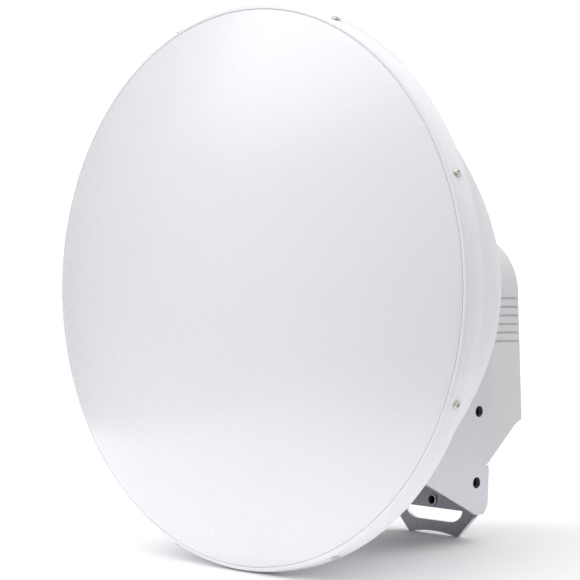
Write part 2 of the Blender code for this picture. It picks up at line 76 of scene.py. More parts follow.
lean = math.atan2(RIM_RADIUS + FOOT_BOTTOM, FOOT_REAR - SKIRT_REAR)
screw_middles = [middle_of(f"rim_screw_{number}") for number in range(1, SCREW_COUNT + 1)]
screw_ring_middle = sum(screw_middles, Vector()) / SCREW_COUNT
stand = (Matrix.Translation(screw_ring_middle) @ Matrix.Rotation(-lean, 4, "X")
         @ Matrix.Translation((0.0, -SCREW_PLANE, 0.0)))

# Reflector
# A bowl spun from 2.5 mm aluminium sheet and powder-coated light grey: a paraboloid with a flat seat for
# the bracket and a short collar that the radome slips over.
BOWL_FRONT = 0.0158
BOWL_RADIUS = 0.182
BOWL_DEPTH = 0.180
BOWL_WALL = 0.0025
HUB_RADIUS = 0.070
HUB_BEND = 0.005
COLLAR_RADIUS = 0.1857
COLLAR_FRONT = 0.0042
COLLAR_REAR = 0.0132
COLLAR_BEND = 0.0006
BOWL_STEPS = 46
SPIN_STEPS = 240
SCREW_HOLE_RADIUS = 0.0018
HUB_BOLT_SPREAD = 0.030
HUB_BOLT_DROP = 0.006
HUB_BOLT_HOLE_RADIUS = 0.0033
SHARP_ANGLE = math.radians(50.0)
HUB_Y = BOWL_FRONT + BOWL_DEPTH * (1.0 - (HUB_RADIUS / BOWL_RADIUS) ** 2)


def rounded(corners, closed=False):
    """Points of an outline of (across, up, radius) corners, each rounded off where it has a radius."""
    points = []
    for index, corner in enumerate(corners):
        here = Vector(corner[:2])
        at_end = not closed and index in (0, len(corners) - 1)
        if len(corner) < 3 or at_end:
            points.append(tuple(here))
            continue
        radius = corner[2]
        back = (Vector(corners[index - 1][:2]) - here).normalized()
        ahead = (Vector(corners[(index + 1) % len(corners)][:2]) - here).normalized()
        half = back.angle(ahead) / 2
        centre = here + (back + ahead).normalized() * radius / math.sin(half)
        start = here + back * radius / math.tan(half) - centre
        end = here + ahead * radius / math.tan(half) - centre
        turn = math.atan2(start.x * end.y - start.y * end.x, start.dot(end))
        steps = max(2, round(abs(turn) / math.radians(15.0)))
        for step in range(steps + 1):
            point = centre + Matrix.Rotation(turn * step / steps, 2) @ start
            points.append(tuple(point))
    return points


def edit(piece, kind):
    """Enter edit mode on one piece alone, with nothing in it selected."""
    bpy.ops.object.select_all(action="DESELECT")
    piece.select_set(True)
    bpy.context.view_layer.objects.active = piece
    bpy.ops.object.mode_set(mode="EDIT")
    bpy.ops.mesh.select_mode(type=kind)
    bpy.ops.mesh.select_all(action="DESELECT")


def pick(piece, kind, test):
    """Select the vertices, edges or faces of the piece in edit mode that pass a test."""
    bpy.ops.mesh.select_mode(type=kind)
    bpy.ops.mesh.select_all(action="DESELECT")
    shape = bmesh.from_edit_mesh(piece.data)
    shape.normal_update()
    items = {"VERT": shape.verts, "EDGE": shape.edges, "FACE": shape.faces}[kind]
    for item in items:
        if test(item):
            item.select_set(True)
    shape.select_flush_mode()
    bmesh.update_edit_mesh(piece.data)


def draw_line(name, points):
    """Extrude one vertex from point to point, and leave the new piece in edit mode, all selected."""
    bpy.ops.object.select_all(action="DESELECT")
    bpy.ops.mesh.primitive_plane_add(size=0.001, location=points[0])
    piece = bpy.context.object
    piece.name = name
    bpy.ops.object.transform_apply(location=True, rotation=False, scale=False)
    edit(piece, "VERT")
    bpy.ops.mesh.select_all(action="SELECT")
    bpy.ops.mesh.merge(type="CENTER")
    for before, after in zip(points, points[1:]):
        step = Vector(after) - Vector(before)
        bpy.ops.mesh.extrude_vertices_move(TRANSFORM_OT_translate={"value": step})
    bpy.ops.mesh.select_all(action="SELECT")
    return piece


def spin_section(name, section, steps):
    """Spin half a section of (radius, y) points a whole turn round the Y axis."""
    piece = draw_line(name, [(radius, y, 0.0) for radius, y in section])
    bpy.ops.mesh.spin(steps=steps, angle=2.0 * math.pi, center=(0.0, 0.0, 0.0), axis=(0.0, 1.0, 0.0))
    bpy.ops.mesh.select_all(action="SELECT")
    bpy.ops.mesh.remove_doubles(threshold=0.00002)
    bpy.ops.mesh.normals_make_consistent(inside=False)
    bpy.ops.object.mode_set(mode="OBJECT")
    return piece


def modify(piece, kind, **settings):
    """Add a modifier with its settings and apply it."""
    bpy.ops.object.select_all(action="DESELECT")
    piece.select_set(True)
    bpy.context.view_layer.objects.active = piece
    modifier = piece.modifiers.new(kind.lower(), kind)
    for setting, value in settings.items():
        setattr(modifier, setting, value)
    bpy.ops.object.modifier_apply(modifier=modifier.name)


def cut(piece, cutter, operation="DIFFERENCE"):
    """Cut a piece with another one, which is used up."""
    modify(piece, "BOOLEAN", operation=operation, solver="EXACT", object=cutter)
    bpy.data.objects.remove(cutter, do_unlink=True)


def drill(piece, radius, depth, place, vertices=48):
    """Drill a round hole along the local Z axis of a place."""
    bpy.ops.object.select_all(action="DESELECT")
    bpy.ops.mesh.primitive_cylinder_add(vertices=vertices, radius=radius, depth=depth)
    bit = bpy.context.object
    bit.matrix_world = place
    bpy.context.view_layer.update()
    cut(piece, bit)


def rim_place(number):
    """Place of a rim screw in the antenna's frame, with local Z pointing outwards."""
    angle = SCREW_FIRST_ANGLE + 2.0 * math.pi * (number - 1) / SCREW_COUNT
    outwards = Vector((math.cos(angle), 0.0, math.sin(angle)))
    turn = outwards.to_track_quat("Z", "Y").to_matrix().to_4x4()
    return Matrix.Translation(outwards * RIM_RADIUS + Vector((0.0, SCREW_PLANE, 0.0))) @ turn


def hub_bolt_places():
    places = []
    for side_z in (1.0, -1.0):
        for side_x in (-1.0, 1.0):
            places.append((side_x * HUB_BOLT_SPREAD, side_z * HUB_BOLT_SPREAD - HUB_BOLT_DROP))
    return places


def linear(colour):
    """A hex sRGB colour as linear light, with full alpha."""
    channels = [int(colour[start:start + 2], 16) / 255.0 for start in (1, 3, 5)]
    return [c / 12.92 if c <= 0.04045 else ((c + 0.055) / 1.055) ** 2.4 for c in channels] + [1.0]


def new_material(name, colour, roughness, metallic=0.0, **sockets):
    """A material with its shader, and the antenna's own coordinates for its patterns to read."""
    material = bpy.data.materials.new(name)
    material.use_nodes = True
    shader = material.node_tree.nodes["Principled BSDF"]
    shader.inputs["Base Color"].default_value = linear(colour)
    shader.inputs["Roughness"].default_value = roughness
    shader.inputs["Metallic"].default_value = metallic
    for socket, value in sockets.items():
        shader.inputs[socket.replace("_", " ")].default_value = value
    coordinates = material.node_tree.nodes.new("ShaderNodeTexCoord")
    upright = material.node_tree.nodes.new("ShaderNodeMapping")
    upright.name = "upright"
    upright.vector_type = "TEXTURE"
    upright.inputs["Location"].default_value = stand.translation
    upright.inputs["Rotation"].default_value = stand.to_euler()
    material.node_tree.links.new(coordinates.outputs["Object"], upright.inputs["Vector"])
    return material


def add_node(material, kind, links=(), settings=(), **inputs):
    """Add a node: links are (input, node or name, output), settings its properties."""
    tree = material.node_tree
    node = tree.nodes.new(kind)
    for setting, value in dict(settings).items():
        setattr(node, setting, value)
    for socket, value in inputs.items():
        node.inputs[socket.replace("_", " ")].default_value = value
    for socket, source, output in links:
        source = tree.nodes[source] if isinstance(source, str) else source
        tree.links.new(source.outputs[output], node.inputs[socket])
    return node


def to_shader(material, socket, source, output):
    shader = material.node_tree.nodes["Principled BSDF"]
    material.node_tree.links.new(source.outputs[output], shader.inputs[socket])


def vary_colour(material, pattern, output, dark, light):
    """Paint the surface from one colour to another by a pattern."""
    mix = add_node(material, "ShaderNodeMix", [("Factor", pattern, output)], {"data_type": "RGBA"})
    mix.inputs[6].default_value = linear(dark)
    mix.inputs[7].default_value = linear(light)
    material.node_tree.links.new(mix.outputs[2],
                                 material.node_tree.nodes["Principled BSDF"].inputs["Base Color"])


def vary_roughness(material, pattern, output, low, high):
    spread = add_node(material, "ShaderNodeMapRange", [("Value", pattern, output)])
    spread.inputs["To Min"].default_value = low
    spread.inputs["To Max"].default_value = high
    to_shader(material, "Roughness", spread, "Result")


def raise_grain(material, pattern, output, height):
    """Let a pattern stand up from the surface by a height in metres."""
    bump = add_node(material, "ShaderNodeBump", [("Height", pattern, output)], Distance=height)
    to_shader(material, "Normal", bump, "Normal")
    return bump


def finish_piece(piece, material, slot, *nodes, flat=False):
    """Lean a piece back with the antenna, settle its place in its mesh, and hand it to the frame."""
    bpy.context.view_layer.update()
    piece.matrix_world = stand @ piece.matrix_world
    bpy.ops.object.select_all(action="DESELECT")
    piece.select_set(True)
    bpy.context.view_layer.objects.active = piece
    bpy.ops.object.transform_apply(location=True, rotation=True, scale=True)
    bpy.ops.object.shade_smooth_by_angle(angle=SHARP_ANGLE)
    if flat:
        modify(piece, "WEIGHTED_NORMAL", keep_sharp=True)
    piece.data.materials.clear()
    piece.data.materials.append(material)
    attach(piece, "root")
    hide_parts(*nodes)
    return piece


bowl_outside = []
for step in range(BOWL_STEPS + 1):
    y = BOWL_FRONT + (HUB_Y - BOWL_FRONT) * step / BOWL_STEPS
    bowl_outside.append((BOWL_RADIUS * math.sqrt(1.0 - (y - BOWL_FRONT) / BOWL_DEPTH), y))
bowl_inside = []
for radius, y in reversed(bowl_outside):
    slope = 2.0 * BOWL_DEPTH * radius / BOWL_RADIUS ** 2
    length = math.hypot(slope, 1.0)
    bowl_inside.append((radius - BOWL_WALL * slope / length, y - BOWL_WALL / length))
section = [(0.0, HUB_Y - BOWL_WALL), (bowl_inside[0][0], HUB_Y - BOWL_WALL, HUB_BEND - BOWL_WALL)]
section += bowl_inside[2:]
section += [(COLLAR_RADIUS - BOWL_WALL, COLLAR_REAR - BOWL_WALL / 2, COLLAR_BEND),
            (COLLAR_RADIUS - BOWL_WALL, COLLAR_FRONT, COLLAR_BEND),
            (COLLAR_RADIUS, COLLAR_FRONT, COLLAR_BEND), (COLLAR_RADIUS, COLLAR_REAR, 2.0 * COLLAR_BEND)]
section += bowl_outside[:-2] + [(HUB_RADIUS, HUB_Y, HUB_BEND), (0.0, HUB_Y)]
reflector = spin_section("reflector_bowl", rounded(section), SPIN_STEPS)
for number in range(1, SCREW_COUNT + 1):
    drill(reflector, SCREW_HOLE_RADIUS, 0.016, rim_place(number), 24)
for x, z in hub_bolt_places():
    place = Matrix.Translation((x, HUB_Y, z)) @ Matrix.Rotation(math.pi / 2, 4, "X")
    drill(reflector, HUB_BOLT_HOLE_RADIUS, 0.020, place, 32)

# Polyester powder coat on aluminium: even and half matt, with the fine orange peel of the baked powder
# and the faint rings that the spinning tool leaves under it.
powder_coat = new_material("powder_coated_aluminium", "#DDDCE1", 0.42, IOR=1.5)
PEEL_MM = 1.1
SPIN_MARK_MM = 4.0
peel = add_node(powder_coat, "ShaderNodeTexNoise", [("Vector", "upright", "Vector")],
                Scale=1000.0 / PEEL_MM, Detail=2.0, Roughness=0.55)
rings = add_node(powder_coat, "ShaderNodeTexWave", [("Vector", "upright", "Vector")],
                 {"wave_type": "BANDS", "bands_direction": "Y"}, Scale=1000.0 / SPIN_MARK_MM / 20.0,
                 Distortion=1.5, Detail=2.0)
clouds = add_node(powder_coat, "ShaderNodeTexNoise", [("Vector", "upright", "Vector")], Scale=9.0)
vary_colour(powder_coat, clouds, "Fac", "#DAD9DE", "#E0DFE4")
vary_roughness(powder_coat, peel, "Fac", 0.38, 0.48)
first_bump = raise_grain(powder_coat, rings, "Fac", 0.00002)
second_bump = raise_grain(powder_coat, peel, "Fac", 0.00003)
powder_coat.node_tree.links.new(first_bump.outputs["Normal"], second_bump.inputs["Normal"])
finish_piece(reflector, powder_coat, "reflector", "reflector")

# Radome
# The cap over the dish, thermoformed from 3 mm white UV-stable plastic: a shallow dome, a narrow groove
# where the face meets the rolled edge, and a skirt that slips over the reflector's collar.
DOME_RISE = 0.048
DOME_EDGE_RADIUS = 0.1852
DOME_EDGE_HEIGHT = 0.0003
EDGE_ROUND = 0.0036
GROOVE_WIDTH = 0.0006
GROOVE_DEPTH = 0.0006
SKIRT_STEP = 0.00015
RADOME_WALL = 0.003
DOME_STEPS = 40

rise = DOME_RISE - DOME_EDGE_HEIGHT
ball = (DOME_EDGE_RADIUS ** 2 + rise ** 2) / (2.0 * rise)
edge_angle = math.asin(DOME_EDGE_RADIUS / ball)
face = []
for step in range(DOME_STEPS + 1):
    angle = edge_angle * step / DOME_STEPS
    face.append((ball * math.sin(angle), ball * (1.0 - math.cos(angle)) - DOME_RISE))
lip_start = DOME_EDGE_RADIUS + GROOVE_WIDTH
groove = [(DOME_EDGE_RADIUS, -DOME_EDGE_HEIGHT, 0.0002),
          (DOME_EDGE_RADIUS + 0.3 * GROOVE_WIDTH, GROOVE_DEPTH, 0.0001),
          (DOME_EDGE_RADIUS + 0.7 * GROOVE_WIDTH, GROOVE_DEPTH, 0.0001)]
lip_round = RIM_RADIUS - SKIRT_STEP - lip_start
lip = []
for step in range(9):
    angle = math.radians(90.0 - 90.0 * step / 8.0)
    lip.append((lip_start + lip_round * math.cos(angle), EDGE_ROUND * (1.0 - math.sin(angle))))
skirt = [(RIM_RADIUS - SKIRT_STEP, EDGE_ROUND + 0.0003), (RIM_RADIUS, EDGE_ROUND + 0.0005),
         (RIM_RADIUS, SKIRT_REAR, 0.0004), (RIM_RADIUS - RADOME_WALL, SKIRT_REAR, 0.0002)]
inner_ball = ball - RADOME_WALL
inner_angle = math.asin((RIM_RADIUS - 2.0 * RADOME_WALL) / inner_ball)
inside = [(RIM_RADIUS - RADOME_WALL, EDGE_ROUND)]
for step in range(DOME_STEPS // 2 + 1):
    angle = inner_angle * (1.0 - step / (DOME_STEPS // 2))
    inside.append((inner_ball * math.sin(angle), ball - inner_ball * math.cos(angle) - DOME_RISE))
radome = spin_section("radome_cap", rounded(face[:-1] + groove + lip + skirt + inside), SPIN_STEPS)
for number in range(1, SCREW_COUNT + 1):
    drill(radome, SCREW_HOLE_RADIUS, 0.016, rim_place(number), 24)

# White ASA plastic, thermoformed and left as moulded: glossy and slightly cold, with a very faint
# unevenness that bends the lamps' reflections.
radome_plastic = new_material("gloss_white_asa_plastic", "#EAECF0", 0.24, IOR=1.52)
WAVE_MM = 60.0
HAZE_MM = 0.7
waves = add_node(radome_plastic, "ShaderNodeTexNoise", [("Vector", "upright", "Vector")],
                 Scale=1000.0 / WAVE_MM, Detail=1.0)
haze = add_node(radome_plastic, "ShaderNodeTexNoise", [("Vector", "upright", "Vector")],
                Scale=1000.0 / HAZE_MM, Detail=2.0)
vary_colour(radome_plastic, waves, "Fac", "#E9EAEE", "#ECEDF1")
vary_roughness(radome_plastic, haze, "Fac", 0.22, 0.32)
wave_bump = raise_grain(radome_plastic, waves, "Fac", 0.00010)
haze_bump = raise_grain(radome_plastic, haze, "Fac", 0.000002)
radome_plastic.node_tree.links.new(wave_bump.outputs["Normal"], haze_bump.inputs["Normal"])
finish_piece(radome, radome_plastic, "radome", "radome")

# Rim screws
# Eight M3 pan-head screws of stainless steel, cold-headed with a cross recess, driven through the skirt
# into the reflector's collar.
SCREW_HEAD_RADIUS = 0.0028
SCREW_HEAD_HEIGHT = 0.0017
SCREW_HEAD_ROUND = 0.0011
SCREW_SHANK_RADIUS = 0.0014
SCREW_LENGTH = 0.0062
RECESS_ARM = 0.0032
RECESS_WIDTH = 0.0010
RECESS_DEPTH = 0.0013
RECESS_TAPER = 0.55
SCREW_TURNS = (12.0, 47.0, 76.0, 31.0, 63.0, 5.0, 54.0, 84.0)


def pan_head_screw():
    """One screw standing on the local XY plane, its head upwards."""
    bpy.ops.object.select_all(action="DESELECT")
    bpy.ops.mesh.primitive_cylinder_add(vertices=40, radius=SCREW_HEAD_RADIUS, depth=SCREW_HEAD_HEIGHT,
                                        location=(0.0, 0.0, SCREW_HEAD_HEIGHT / 2))
    screw = bpy.context.object
    bpy.ops.object.transform_apply(location=True)
    edit(screw, "EDGE")
    pick(screw, "EDGE", lambda edge: min(v.co.z for v in edge.verts) > SCREW_HEAD_HEIGHT * 0.9)
    bpy.ops.mesh.bevel(offset=SCREW_HEAD_ROUND, segments=6, profile=0.5)
    pick(screw, "FACE", lambda face: face.normal.z < -0.9)
    shank_scale = SCREW_SHANK_RADIUS / SCREW_HEAD_RADIUS
    bpy.ops.mesh.inset(thickness=SCREW_HEAD_RADIUS * (1.0 - shank_scale))
    bpy.ops.mesh.extrude_region_move(TRANSFORM_OT_translate={"value": (0.0, 0.0, -SCREW_LENGTH)})
    bpy.ops.object.mode_set(mode="OBJECT")
    for quarter in (0.0, 90.0):
        bpy.ops.object.select_all(action="DESELECT")
        bpy.ops.mesh.primitive_cube_add(size=1.0, scale=(RECESS_ARM, RECESS_WIDTH, 2.0 * RECESS_DEPTH),
                                        location=(0.0, 0.0, SCREW_HEAD_HEIGHT),
                                        rotation=(0.0, 0.0, math.radians(quarter)))
        blade = bpy.context.object
        bpy.ops.object.transform_apply(location=False, rotation=False, scale=True)
        edit(blade, "FACE")
        pick(blade, "FACE", lambda face: face.normal.z < -0.9)
        bpy.ops.transform.resize(value=(RECESS_TAPER, RECESS_TAPER, 1.0))
        bpy.ops.object.mode_set(mode="OBJECT")
        cut(screw, blade)
    return screw


# Stainless A2 steel, tumbled bright: a soft metallic gleam with fine tumbling marks.
stainless = new_material("stainless_a2_steel", "#C9C6BF", 0.30, 1.0)
TUMBLE_MM = 0.35
tumble = add_node(stainless, "ShaderNodeTexNoise", [("Vector", "upright", "Vector")],
                  Scale=1000.0 / TUMBLE_MM, Detail=3.0)
vary_colour(stainless, tumble, "Fac", "#BDBAB2", "#D2CFC9")
vary_roughness(stainless, tumble, "Fac", 0.24, 0.38)
raise_grain(stainless, tumble, "Fac", 0.00001)

screw_pattern = pan_head_screw()
for number in range(1, SCREW_COUNT + 1):
    screw = screw_pattern.copy()
    screw.data = screw_pattern.data.copy()
    screw.name = f"rim_screw_head_{number}"
    bpy.context.collection.objects.link(screw)
    screw.matrix_world = rim_place(number) @ Matrix.Rotation(math.radians(SCREW_TURNS[number - 1]), 4, "Z")
    finish_piece(screw, stainless, "fasteners", f"rim_screw_{number}")
bpy.data.objects.remove(screw_pattern, do_unlink=True)

# Hub plate
# A laser-cut plate of 3 mm zinc-plated steel across the front of the bracket, through which the bracket
# is bolted to the flat of the reflector.
SHEET = 0.003
GAP = 0.0003
BRACKET_HALF_WIDTH = 0.050
PLATE_TOP = 0.038
HUB_PLATE_BOTTOM = -0.060
EDGE_BREAK = 0.0003
HUB_PLATE_FRONT = HUB_Y + GAP
BRACKET_INSIDE = BRACKET_HALF_WIDTH - SHEET


def block(name, low, high):
    """A cube drawn between two corners, its size applied."""
    low, high = Vector(low), Vector(high)
    bpy.ops.object.select_all(action="DESELECT")
    bpy.ops.mesh.primitive_cube_add(size=1.0, scale=high - low, location=(low + high) / 2)
    piece = bpy.context.object
    piece.name = name
    bpy.ops.object.transform_apply(location=True, rotation=False, scale=True)
    return piece


def break_edges(piece, width=EDGE_BREAK, segments=2, angle=35.0):
    """Round off the sharp edges, as deburring does."""
    modify(piece, "BEVEL", width=width, segments=segments, limit_method="ANGLE",
           angle_limit=math.radians(angle), use_clamp_overlap=True, harden_normals=False)


hub_plate = block("hub_plate_sheet", (-BRACKET_INSIDE + GAP, HUB_PLATE_FRONT, HUB_PLATE_BOTTOM),
                  (BRACKET_INSIDE - GAP, HUB_PLATE_FRONT + SHEET, PLATE_TOP))
edit(hub_plate, "EDGE")
pick(hub_plate, "EDGE", lambda edge: abs(edge.verts[0].co.y - edge.verts[1].co.y) > SHEET / 2)
bpy.ops.mesh.bevel(offset=0.002, segments=4)
bpy.ops.object.mode_set(mode="OBJECT")
for x, z in hub_bolt_places():
    place = Matrix.Translation((x, HUB_PLATE_FRONT, z)) @ Matrix.Rotation(math.pi / 2, 4, "X")
    drill(hub_plate, HUB_BOLT_HOLE_RADIUS, 0.020, place, 32)
break_edges(hub_plate)

# Steel sheet with bright zinc plating: a cool, slightly violet grey metal, brushed before plating, with
# faint rolling lines and cloudy patches of the passivation.
zinc_plate = new_material("zinc_plated_steel_sheet", "#C4C1C7", 0.36, 1.0)
BRUSH_MM = 0.5
BRUSH_STRETCH = 14.0
PATCH_MM = 9.0
stretched = add_node(zinc_plate, "ShaderNodeMapping", [("Vector", "upright", "Vector")],
                     Scale=(1.0 / BRUSH_STRETCH, 1.0, 1.0))
brush = add_node(zinc_plate, "ShaderNodeTexNoise", [("Vector", stretched, "Vector")],
                 Scale=1000.0 / BRUSH_MM, Detail=3.0, Roughness=0.6)
patches = add_node(zinc_plate, "ShaderNodeTexNoise", [("Vector", "upright", "Vector")],
                   Scale=1000.0 / PATCH_MM, Detail=4.0, Roughness=0.6)
vary_colour(zinc_plate, patches, "Fac", "#D2CFD6", "#DBD8DD")
vary_roughness(zinc_plate, brush, "Fac", 0.34, 0.44)
raise_grain(zinc_plate, brush, "Fac", 0.00003)
finish_piece(hub_plate, zinc_plate, "bracket", "hub_plate", flat=True)

# Hub bolts
# Four M6 hexagon flange bolts of stainless steel that clamp the hub plate to the reflector.
HEX_ACROSS_FLATS = 0.0094
HEX_HEIGHT = 0.004
FLANGE_RADIUS = 0.0056
FLANGE_HEIGHT = 0.0009
BOLT_SHANK_RADIUS = 0.0029
BOLT_CORNER = 0.0006


def flange_bolt():
    """One bolt whose flange lies on the local XY plane, its head upwards."""
    bpy.ops.object.select_all(action="DESELECT")
    hex_radius = HEX_ACROSS_FLATS / math.sqrt(3.0)
    bpy.ops.mesh.primitive_cylinder_add(vertices=6, radius=hex_radius, depth=HEX_HEIGHT - FLANGE_HEIGHT / 2,
                                        location=(0.0, 0.0, (HEX_HEIGHT + FLANGE_HEIGHT / 2) / 2))
    bolt = bpy.context.object
    bpy.ops.object.transform_apply(location=True)
    edit(bolt, "FACE")
    pick(bolt, "FACE", lambda face: face.normal.z > 0.9)
    bpy.ops.mesh.inset(thickness=BOLT_CORNER)
    bpy.ops.transform.translate(value=(0.0, 0.0, 0.0))
    pick(bolt, "VERT", lambda vert: math.hypot(vert.co.x, vert.co.y) > hex_radius - BOLT_CORNER / 2
         and vert.co.z > HEX_HEIGHT * 0.9)
    bpy.ops.transform.translate(value=(0.0, 0.0, -BOLT_CORNER))
    bpy.ops.object.mode_set(mode="OBJECT")
    shank_end = -(SHEET + 2.0 * GAP + BOWL_WALL)
    bpy.ops.object.select_all(action="DESELECT")
    bpy.ops.mesh.primitive_cylinder_add(vertices=40, radius=FLANGE_RADIUS, depth=FLANGE_HEIGHT,
                                        location=(0.0, 0.0, FLANGE_HEIGHT / 2))
    flange = bpy.context.object
    bpy.ops.object.transform_apply(location=True)
    edit(flange, "FACE")
    pick(flange, "FACE", lambda face: face.normal.z < -0.9)
    bpy.ops.mesh.inset(thickness=FLANGE_RADIUS - BOLT_SHANK_RADIUS)
    bpy.ops.mesh.extrude_region_move(TRANSFORM_OT_translate={"value": (0.0, 0.0, shank_end)})
    bpy.ops.object.mode_set(mode="OBJECT")
    cut(bolt, flange, "UNION")
    return bolt


bolt_pattern = flange_bolt()
for number, (x, z) in enumerate(hub_bolt_places(), start=1):
    bolt = bolt_pattern.copy()
    bolt.data = bolt_pattern.data.copy()
    bolt.name = f"hub_flange_bolt_{number}"
    bpy.context.collection.objects.link(bolt)
    seat = HUB_PLATE_FRONT + SHEET + GAP
    bolt.matrix_world = Matrix.Translation((x, seat, z)) @ Matrix.Rotation(-math.pi / 2, 4, "X")
    finish_piece(bolt, stainless, "fasteners", f"hub_bolt_{number}", flat=True)
bpy.data.objects.remove(bolt_pattern, do_unlink=True)

# Bracket
# One laser-cut blank of 3 mm zinc-plated steel, folded to a channel: two side plates that follow the
# bowl, with holes for the pole clamp, and a web with a hand slot whose lower corners are the feet.
PLATE_REAR = 0.1944
BEND_RADIUS = 0.005
PLATE_REAR_BEND = FOOT_REAR - BEND_RADIUS
PLATE_FRONT_LIMIT = 0.050
PLATE_BOTTOM = -0.1573
PLATE_LOWER_BEND_Y = 0.1847
PLATE_LOWER_SLOPE = 0.442
PLATE_BOWL_CLEARANCE = 0.0006
PLATE_TOP_ROUND = 0.006
POLE_HOLE_RADIUS = 0.004
POLE_HOLE_Y = 0.1842
POLE_HOLE_HEIGHTS = (-0.0842, -0.1345)
BEND_NOTCH_TOP = -0.147
BEND_NOTCH_HALF = 0.0056
BEND_TOP_START = -0.0029
BEND_TOP_END = 0.001
FOOT_TOP = -0.1225
WEB_TOP = -0.1315
WEB_TOP_HALF = 0.0445
FOOT_OUTER = 0.0229
FOOT_INNER = 0.0205
FOOT_CHAMFER_TOP = 0.0412
FOOT_ARCH_RISE = 0.0023
SLOT_TOP = -0.1577
SLOT_BOTTOM = -0.1667
SLOT_TOP_HALF = 0.0265
SLOT_BOTTOM_HALF = 0.0146
INSERT_X = -0.002
INSERT_HEIGHT = -0.1522
INSERT_HOLE_RADIUS = 0.0042
BEYOND = 0.004


def prism(name, outline, axis, start, end):
    """Fill an outline and extrude it along X or Y; it is (y, z) or (x, z) pairs."""
    if axis == "X":
        points = [(start, across, up) for across, up in outline]
        step = (end - start, 0.0, 0.0)
    else:
        points = [(across, start, up) for across, up in outline]
        step = (0.0, end - start, 0.0)
    piece = draw_line(name, points)
    bpy.ops.mesh.edge_face_add()
    bpy.ops.mesh.extrude_region_move(TRANSFORM_OT_translate={"value": step})
    bpy.ops.mesh.select_all(action="SELECT")
    bpy.ops.mesh.normals_make_consistent(inside=False)
    bpy.ops.object.mode_set(mode="OBJECT")
    return piece


def arc(centre, radii, start, end, steps):
    """Points on an arc or a part of an ellipse, angles in degrees."""
    points = []
    for step in range(steps + 1):
        angle = math.radians(start + (end - start) * step / steps)
        points.append((centre[0] + radii[0] * math.cos(angle), centre[1] + radii[1] * math.sin(angle)))
    return points


bracket = block("folded_bracket", (-BRACKET_HALF_WIDTH, PLATE_FRONT_LIMIT, FOOT_BOTTOM - BEYOND),
                (BRACKET_HALF_WIDTH, FOOT_REAR, PLATE_TOP + BEYOND))
edit(bracket, "EDGE")
pick(bracket, "EDGE", lambda edge: all(v.co.y > PLATE_REAR for v in edge.verts)
     and abs(edge.verts[0].co.z - edge.verts[1].co.z) > BEYOND)
bpy.ops.mesh.bevel(offset=BEND_RADIUS, segments=10)
pick(bracket, "FACE", lambda face: abs(face.normal.z) > 0.9 or face.normal.y < -0.9)
bpy.ops.mesh.delete(type="FACE")
bpy.ops.object.mode_set(mode="OBJECT")
modify(bracket, "SOLIDIFY", thickness=SHEET, offset=-1.0, use_even_offset=True)

side_outline = rounded([(FOOT_REAR + BEYOND, FOOT_BOTTOM - 2.0 * BEYOND), (FOOT_REAR + BEYOND, FOOT_TOP),
                        (PLATE_REAR, FOOT_TOP), (PLATE_REAR, PLATE_TOP, PLATE_TOP_ROUND),
                        (HUB_PLATE_FRONT, PLATE_TOP, 0.001), (HUB_PLATE_FRONT, -BRACKET_HALF_WIDTH),
                        (PLATE_FRONT_LIMIT - BEYOND, -BRACKET_HALF_WIDTH),
                        (PLATE_FRONT_LIMIT - BEYOND, PLATE_BOTTOM + PLATE_LOWER_SLOPE
                         * (PLATE_LOWER_BEND_Y - PLATE_FRONT_LIMIT + BEYOND)),
                        (PLATE_LOWER_BEND_Y, PLATE_BOTTOM, 0.004), (PLATE_REAR, PLATE_BOTTOM),
                        (PLATE_REAR, FOOT_BOTTOM - 2.0 * BEYOND)], closed=True)
cut(bracket, prism("side_outline", side_outline, "X", -BRACKET_HALF_WIDTH - BEYOND,
                   BRACKET_HALF_WIDTH + BEYOND), "INTERSECT")
arch_radius = (FOOT_INNER ** 2 + FOOT_ARCH_RISE ** 2) / (2.0 * FOOT_ARCH_RISE)
arch_half = math.degrees(math.asin(FOOT_INNER / arch_radius))
arch_centre = (0.0, FOOT_BOTTOM + FOOT_ARCH_RISE - arch_radius)
wide = BRACKET_HALF_WIDTH + BEYOND
right_foot = [(FOOT_OUTER, FOOT_BOTTOM), (FOOT_CHAMFER_TOP, PLATE_BOTTOM), (wide, PLATE_BOTTOM),
              (wide, FOOT_BOTTOM - 2.0 * BEYOND)]
left_foot = [(-x, z) for x, z in reversed(right_foot)]
below_web = right_foot + left_foot
below_web += arc(arch_centre, (arch_radius, arch_radius), 90.0 + arch_half, 90.0 - arch_half, 16)
cut(bracket, prism("below_web", below_web, "Y", PLATE_REAR, FOOT_REAR + BEYOND))
cut(bracket, block("above_web", (-WEB_TOP_HALF, PLATE_REAR, WEB_TOP),
                   (WEB_TOP_HALF, FOOT_REAR + BEYOND, PLATE_TOP)))
notch_bottom = PLATE_BOTTOM - BEYOND
notch_half = BEND_NOTCH_HALF * (BEND_NOTCH_TOP - notch_bottom) / (BEND_NOTCH_TOP - PLATE_BOTTOM)
notch = [(-notch_half, notch_bottom), (notch_half, notch_bottom), (0.0, BEND_NOTCH_TOP)]
above = FOOT_TOP + BEYOND
past_bend = BEND_RADIUS + 0.001
for side in (-1.0, 1.0):
    # The blank is notched below each bend and sloped off above it; both cuts run square through the bend.
    sloped = [(BEND_TOP_START, FOOT_TOP), (BEND_TOP_END, WEB_TOP), (past_bend, WEB_TOP),
              (past_bend, above), (BEND_TOP_START, above)]
    for outline in (notch, sloped):
        tool = prism("bend_cut", [(-side * along, up) for along, up in outline], "Y", -BEYOND,
                     BEND_RADIUS + BEYOND)
        centre = Matrix.Translation((side * (BRACKET_HALF_WIDTH - BEND_RADIUS), PLATE_REAR_BEND, 0.0))
        tool.matrix_world = centre @ Matrix.Rotation(-side * math.pi / 4, 4, "Z")
        bpy.context.view_layer.update()
        cut(bracket, tool)
slot_ends = (SLOT_TOP_HALF - SLOT_BOTTOM_HALF, SLOT_TOP - SLOT_BOTTOM)
